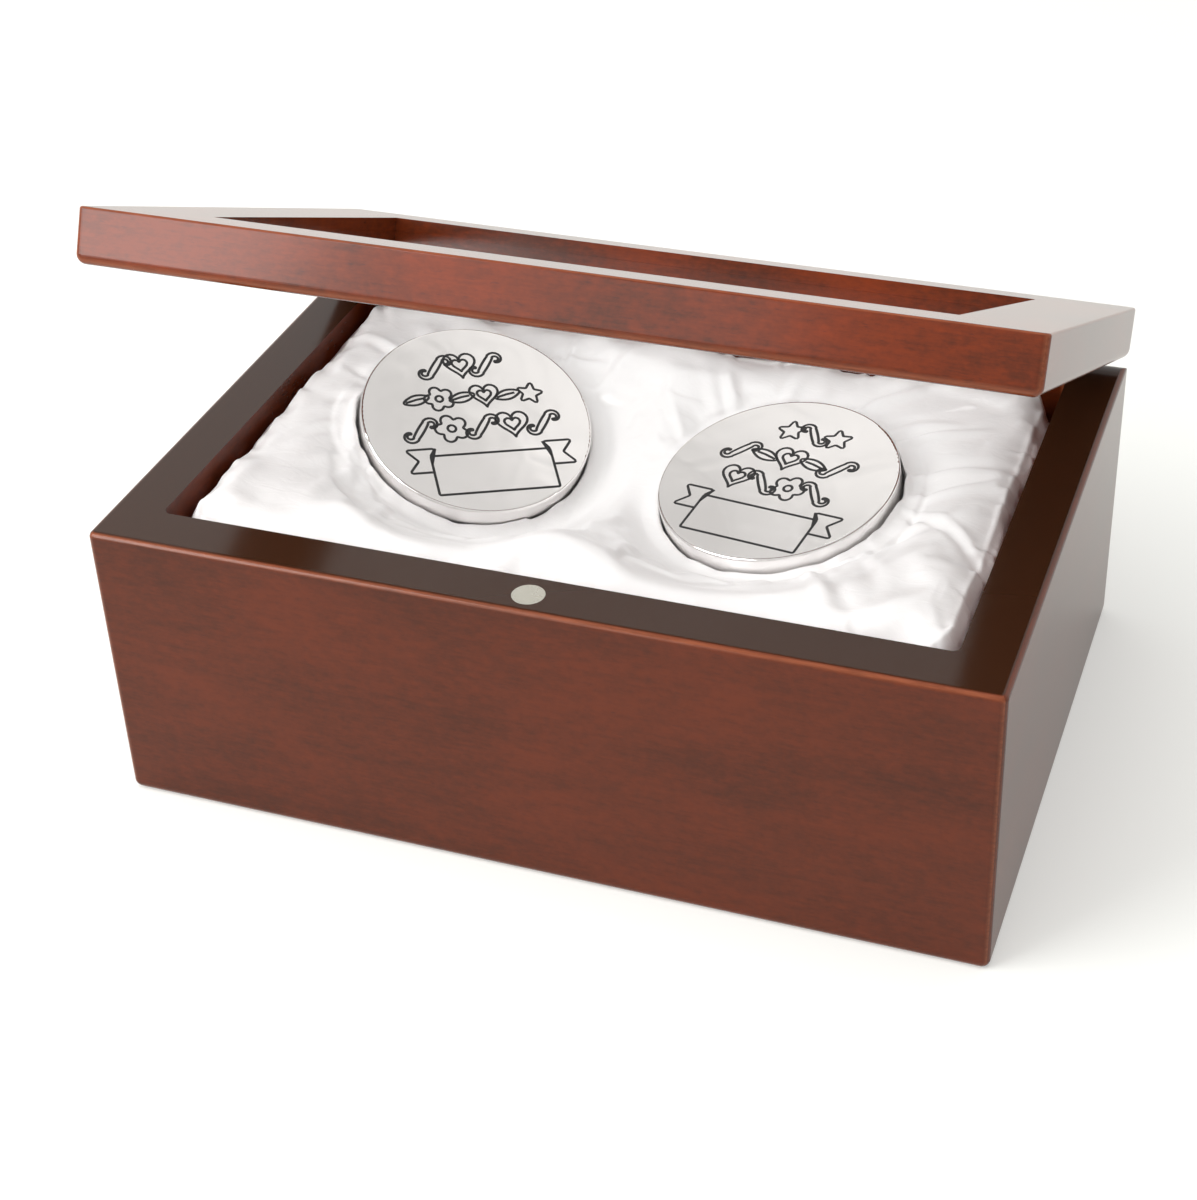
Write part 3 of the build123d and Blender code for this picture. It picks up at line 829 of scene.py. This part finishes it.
class KEEPSAKE_OT_pad(bpy.types.Operator):
    """Makes the satin-covered pad: a puckered, folded cover over the foam, tucked round the tins"""

    bl_idname = "keepsake.pad"
    bl_label = "Satin Pad"

    def execute(self, context):
        settings = context.scene.keepsake_satin
        low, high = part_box("satin_pad")
        self.low, self.high = np.array(low) / MM, np.array(high) / MM
        self.tins = []
        for side in TIN_SIDES:
            place, radius = tin_frame(side)
            self.tins.append((np.array(place.inverted()), np.array(place), radius / MM))
        mesh = self.remeshed(settings.voxel)
        mesh = self.puckered(mesh, settings)
        mesh = self.modified(mesh, "SUBSURF", levels=2, render_levels=2)
        points = self.points(mesh)
        points = self.folded(points, settings.fold_height / MM)
        self.set_points(mesh, self.cleared(points))
        mesh = self.thinned(mesh)
        mesh.materials.clear()
        mesh.materials.append(self.satin(settings))
        smooth(mesh, 80)
        pad = new_piece("satin_cover", mesh, "box", ["satin_pad"])
        return {"FINISHED"}

    @staticmethod
    def points(mesh):
        """A mesh's points, in millimetres."""
        flat = np.empty(3 * len(mesh.vertices))
        mesh.vertices.foreach_get("co", flat)
        return flat.reshape(-1, 3) / MM

    @staticmethod
    def set_points(mesh, points):
        """Moves a mesh's points."""
        mesh.vertices.foreach_set("co", (points * MM).ravel())
        mesh.update()

    @staticmethod
    def modified(mesh, kind, weights=None, **values):
        """The mesh after one modifier, which may act by weight."""
        carrier = new_object("carrier", mesh)
        modifier = carrier.modifiers.new(kind.title(), kind)
        if weights is not None:
            group = carrier.vertex_groups.new(name="share")
            for index, share in enumerate(weights):
                if share > 0:
                    group.add([index], float(share), "REPLACE")
            modifier.vertex_group = "share"
        for name, value in values.items():
            setattr(modifier, name, value)
        return taken_mesh(carrier)

    def remeshed(self, voxel):
        """The foam's own shape as an even mesh."""
        shape = bmesh.new()
        shape.from_mesh(NODES["satin_pad"].data)
        bmesh.ops.remove_doubles(shape, verts=shape.verts, dist=0.01 * MM)
        mesh = bpy.data.meshes.new("satin_cover")
        shape.to_mesh(mesh)
        shape.free()
        return self.modified(mesh, "REMESH", mode="VOXEL", voxel_size=voxel)

    def local(self, points, to_local):
        """Points in a tin's frame: across it, up to the back, and along its axis from the cover."""
        return (points * MM) @ to_local[:3, :3].T / MM + to_local[:3, 3] / MM

    def top_weight(self, points):
        """1 on the cloth's open top, fading to 0 in the pockets and down the sides."""
        weight = np.clip((points[:, 2] - self.high[2] + LOOSE_DEPTH) / 3, 0, 1)
        for to_local, _, radius in self.tins:
            place = self.local(points, to_local)
            away = np.hypot(place[:, 0], place[:, 1]) - radius
            weight *= np.clip((away - 0.4) / 1.2, 0, 1)
        return weight

    def puckered(self, mesh, settings):
        """Lets spare cloth pucker between the walls and the pockets, by a cloth simulation."""
        start = self.points(mesh)
        weight = self.top_weight(start)
        carrier = new_object("carrier", mesh)
        held = carrier.vertex_groups.new(name="held")
        for index, free in enumerate(weight):
            held.add([index], 1.0 - float(free), "REPLACE")
        cloth = carrier.modifiers.new("Cloth", "CLOTH")
        for name, value in CLOTH.items():
            setattr(cloth.settings, name, value)
        cloth.settings.shrink_min = -settings.slack
        cloth.settings.effector_weights.gravity = 0
        cloth.collision_settings.use_collision = False
        cloth.collision_settings.use_self_collision = False
        cloth.point_cache.frame_start = 1
        cloth.point_cache.frame_end = CLOTH_FRAMES
        for step in range(1, CLOTH_FRAMES + 1):
            bpy.context.scene.frame_set(step)
        result = taken_mesh(carrier)
        bpy.context.scene.frame_set(1)
        move = self.points(result) - start
        length = np.maximum(np.linalg.norm(move, axis=1, keepdims=True), 1e-9)
        give = settings.give / MM
        self.set_points(result, start + move / length * give * np.tanh(length / give))
        return result

    def folded(self, points, height):
        """Raises the gathers round the tins, along the walls and in the corners."""
        x, y = points[:, 0], points[:, 1]
        half_x, half_y = self.high[0], self.high[1]
        past_x = np.abs(x) - half_x + PAD_CORNER
        past_y = np.abs(y) - half_y + PAD_CORNER
        to_wall = PAD_CORNER - np.minimum(np.maximum(past_x, past_y), 0) - np.hypot(
            past_x.clip(0), past_y.clip(0))

        folds = Folds(points, half_x, half_y, seed=11)
        middles = {side: place[:3, 3] / MM for side, (_, place, _) in zip(TIN_SIDES, self.tins)}
        radius = self.tins[0][2]
        for side, first, last, count, start, reach, share in TIN_FANS:
            folds.fan(middles[side], first, last, count, radius + start, reach, share * height)
        for side, first, last, offsets, share in TIN_RINGS:
            folds.rings(middles[side], first, last, [radius + offset for offset in offsets],
                        share * height)
        folds.corners(7, 2.5, 16, 0.7 * height)
        for wall, count, reach, share in WALL_PLEATS:
            folds.pleats(wall, count, reach, share * height)
        folds.billows(14, 0.1)
        rise = folds.rise + 0.55 * np.exp(-((to_wall - 2.3) / 0.8) ** 2)
        weight = self.top_weight(points)
        tucked = np.clip(1 - to_wall / 3, 0, 1)
        moved = points.copy()
        for to_local, _, tin_radius in self.tins:
            place = self.local(points, to_local)
            away = np.hypot(place[:, 0], place[:, 1]) - tin_radius
            level = np.clip((place[:, 2] + 8) / 2, 0, 1)
            moved[:, 2] += LIP_RISE * level * np.exp(-(np.clip(away - 0.4, 0, None) / 2.6) ** 2)
        moved[:, 2] += weight * (rise * (1 - 0.6 * tucked) - 0.35 * tucked)
        inward = 0.5 * weight * tucked * (1 + np.clip(rise, -1, 1))
        moved[:, 0] -= np.sign(x) * inward * (half_x - np.abs(x) < half_y - np.abs(y))
        moved[:, 1] -= np.sign(y) * inward * (half_x - np.abs(x) >= half_y - np.abs(y))
        return moved

    def cleared(self, points):
        """Keeps the cloth clear of the tins, the walls, the pane and the lid's rails."""
        points = points.copy()
        for to_local, place, radius in self.tins:
            local = self.local(points, to_local)
            away = np.hypot(local[:, 0], local[:, 1])
            keep = radius + TIN_GAP
            inside = (away < keep) & (local[:, 2] > -TIN_DEPTH)
            wall = inside & (away > radius - POCKET_WALL)
            local[wall, :2] *= (keep / np.maximum(away, 1e-6))[wall, None]
            floor = inside & ~wall
            local[floor, 2] = -TIN_DEPTH
            gap = (away - keep).clip(0, LIP_REACH)
            lip = (~inside & (away < keep + LIP_REACH)
                   & (np.abs(local[:, 2] - LIP_LEVEL) < LIP_HALF))
            drawn = keep + gap * (0.25 + 0.75 * (gap / LIP_REACH) ** 2)
            local[lip, :2] *= (drawn / np.maximum(away, 1e-6))[lip, None]
            touched = wall | floor | lip
            world = (local * MM) @ place[:3, :3].T / MM + place[:3, 3] / MM
            points[touched] = world[touched]
        for axis in (0, 1):
            points[:, axis] = np.clip(points[:, axis], self.low[axis], self.high[axis])
        under_rail = ((np.abs(points[:, 0]) > WINDOW_HALF[0])
                      | (np.abs(points[:, 1]) > WINDOW_HALF[1]))
        limit = np.where(under_rail, RIM_CEILING, PANE_CEILING)
        points[:, 2] = np.clip(points[:, 2], self.low[2], limit)
        return points

    def thinned(self, mesh):
        """Fewer faces on the underside and the lower sides, where nothing shows."""
        height = self.points(mesh)[:, 2]
        hidden = np.clip((self.high[2] - 13 - height) / 2, 0, 1)
        return self.modified(mesh, "DECIMATE", hidden, ratio=0.5)

    @staticmethod
    def satin(settings):
        """Smooth satin: a fine weave over soft, irregular creases."""
        shader = Material("satin")
        weave = shader.add(
            "TexWave", ("Vector", shader.place(rotation=(0, 0, 0.6))),
            ("Scale", 0.31 / settings.thread), ("Distortion", 0.6), ("Detail", 1.0),
            ("Detail Scale", 3.0), wave_type="BANDS", bands_direction="X").outputs["Fac"]
        creases = shader.noise(shader.place(scale=(1, 1.6, 1)), 190.0, 4.0, 0.55, 1.2)
        soft = shader.bump(creases, 0.35 * MM, 0.3)
        fine = shader.bump(weave, 0.012 * MM, 0.25, normal=soft)
        return shader.finish(
            ("Base Color", rgba(settings.colour)), ("Roughness", 0.3), ("Sheen Weight", 0.2),
            ("Sheen Roughness", 0.35), ("Specular IOR Level", 0.8), ("Normal", fine),
            ("Anisotropic", 0.4))


class KEEPSAKE_OT_stage(bpy.types.Operator):
    """Makes the floor, the lamps and the camera"""

    bl_idname = "keepsake.stage"
    bl_label = "Floor, Lamps and Camera"

    def execute(self, context):
        settings = context.scene.keepsake_stage
        self.make_world(context.scene)
        self.make_floor(settings)
        for lamp in LAMPS:
            self.add_softbox(*lamp)
        self.add_camera(context.scene, settings)
        return {"FINISHED"}

    @staticmethod
    def make_world(scene):
        """White where it is seen; a plain room that is darker behind the camera where it lights."""
        world = bpy.data.worlds.new("studio")
        scene.world = world
        world.use_nodes = True
        nodes = Nodes(world.node_tree)
        path = nodes.add("LightPath").outputs
        straight = nodes.math("LESS_THAN", path["Glossy Depth"], 0.5)
        through = nodes.math("MULTIPLY", path["Is Transmission Ray"], straight)
        seen = nodes.math("MAXIMUM", path["Is Camera Ray"], through)
        mirrored = nodes.math("MAXIMUM", path["Is Transmission Ray"], path["Is Glossy Ray"])
        direction = nodes.add("TexCoord").outputs["Generated"]
        backward = nodes.add("VectorMath", (0, direction), (1, (0.354, 1.0, 0.0)),
                             operation="DOT_PRODUCT").outputs["Value"]
        room = nodes.ramp(backward, *ROOM_SPLIT, ROOM_FRONT, interpolation_type="SMOOTHSTEP")
        level = nodes.ramp(nodes.math("MAXIMUM", seen, mirrored), 0.0, 1.0, ROOM_LIGHT)
        strength = nodes.math("MAXIMUM", nodes.math("MULTIPLY", level, room), seen)
        tint = nodes.mix(seen, rgba(ROOM_COLOUR), (1, 1, 1, 1))
        nodes.feed(world.node_tree.nodes["Background"], ("Color", tint), ("Strength", strength))

    @staticmethod
    def make_floor(settings):
        """A pale floor that keeps the object's shadow and fades to white further off."""
        mesh = bpy.data.meshes.new("floor")
        reach = 4.0
        corners = [(-reach, -reach, 0), (reach, -reach, 0), (reach, reach, 0), (-reach, reach, 0)]
        mesh.from_pydata(corners, [], [(0, 1, 2, 3)])
        floor = new_object("floor", mesh)
        shader = Material("floor")
        shader.finish(("Base Color", rgba(settings.floor_colour)), ("Roughness", 0.9),
                      ("Specular IOR Level", 0.0))
        surface = shader.surface.outputs[0]
        path = shader.add("LightPath").outputs
        place = shader.add("TexCoord").outputs["Object"]
        seen = shader.math("MAXIMUM", path["Is Camera Ray"], path["Is Transmission Ray"])
        behind = shader.ramp(shader.add("SeparateXYZ", (0, place)).outputs["Y"], -0.3, 0.5)
        mirrored = shader.math("MULTIPLY", path["Is Glossy Ray"], behind)
        glow = shader.add("Emission", ("Strength", FLOOR_GLOW)).outputs[0]
        both = shader.add("AddShader", (0, surface), (1, glow)).outputs[0]
        near = shader.add("MixShader", (0, shader.math("MAXIMUM", seen, mirrored)),
                          (1, surface), (2, both)).outputs[0]
        away = shader.add("VectorMath", (0, place), operation="LENGTH").outputs["Value"]
        white = shader.add("Emission", ("Strength", 1.0)).outputs[0]
        fade = shader.math("MULTIPLY", seen, shader.ramp(away, *FLOOR_FADE))
        shader.feed(shader.output, ("Surface", shader.add(
            "MixShader", (0, fade), (1, near), (2, white)).outputs[0]))
        mesh.materials.append(shader.material)

    @staticmethod
    def add_softbox(name, place, target, size, power, mirrored, lighting):
        """A square lamp turned to its target."""
        lamp = bpy.data.lights.new(name, "AREA")
        lamp.shape = "SQUARE"
        lamp.size = size
        lamp.energy = power
        light = new_object(name, lamp)
        light.location = place
        light.rotation_euler = (Vector(target) - Vector(place)).to_track_quat("-Z", "Y").to_euler()
        light.visible_diffuse = lighting
        light.visible_glossy = mirrored
        light.visible_transmission = False

    @staticmethod
    def add_camera(scene, settings):
        """The camera, and plain colours for what it sees."""
        data = bpy.data.cameras.new("camera")
        data.lens = settings.lens
        data.shift_x, data.shift_y = LENS_SHIFT
        data.clip_start = 0.01
        camera = new_object("camera", data)
        turn = (Matrix.Rotation(settings.azimuth, 3, "Z")
                @ Matrix.Rotation(math.radians(90) - settings.elevation, 3, "X")
                @ Matrix.Rotation(settings.roll, 3, "Z"))
        camera.matrix_world = Matrix.Translation(settings.position) @ turn.to_4x4()
        scene.camera = camera
        scene.view_settings.view_transform = "Standard"


class KEEPSAKE_PT_panel(bpy.types.Panel):
    """Lists the box's pieces in the sidebar"""

    bl_label = "Keepsake Box"
    bl_space_type = "VIEW_3D"
    bl_region_type = "UI"
    bl_category = "Keepsake Box"

    def draw(self, context):
        """Lists the operators, then the settings of each group."""
        for operator in OPERATORS:
            self.layout.operator(operator.bl_idname)
        for name, _ in SETTINGS:
            group = getattr(context.scene, name)
            column = self.layout.column(heading=group.bl_rna.name)
            for key in group.__annotations__:
                column.prop(group, key)


SETTINGS = (
    ("keepsake_wood", WoodSettings),
    ("keepsake_satin", SatinSettings),
    ("keepsake_silver", SilverSettings),
    ("keepsake_stage", StageSettings),
)
OPERATORS = (
    KEEPSAKE_OT_stage,
    KEEPSAKE_OT_wood,
    KEEPSAKE_OT_insert,
    KEEPSAKE_OT_glass,
    KEEPSAKE_OT_hardware,
    KEEPSAKE_OT_tins,
    KEEPSAKE_OT_pad,
)


def register():
    """Adds the settings, the operators and the panel to Blender."""
    for name, group in SETTINGS:
        bpy.utils.register_class(group)
        setattr(bpy.types.Scene, name, PointerProperty(type=group))
    for operator in OPERATORS:
        bpy.utils.register_class(operator)
    bpy.utils.register_class(KEEPSAKE_PT_panel)


def unregister():
    """Takes them out again."""
    bpy.utils.unregister_class(KEEPSAKE_PT_panel)
    for operator in reversed(OPERATORS):
        bpy.utils.unregister_class(operator)
    for name, group in reversed(SETTINGS):
        delattr(bpy.types.Scene, name)
        bpy.utils.unregister_class(group)


def main():
    """Finishes the whole box on its stage."""
    register()
    bpy.ops.keepsake.stage()
    bpy.ops.keepsake.wood()
    bpy.ops.keepsake.insert()
    bpy.ops.keepsake.glass()
    bpy.ops.keepsake.hardware()
    bpy.ops.keepsake.tins()
    bpy.ops.keepsake.pad()


if __name__ == "__main__":
    main()
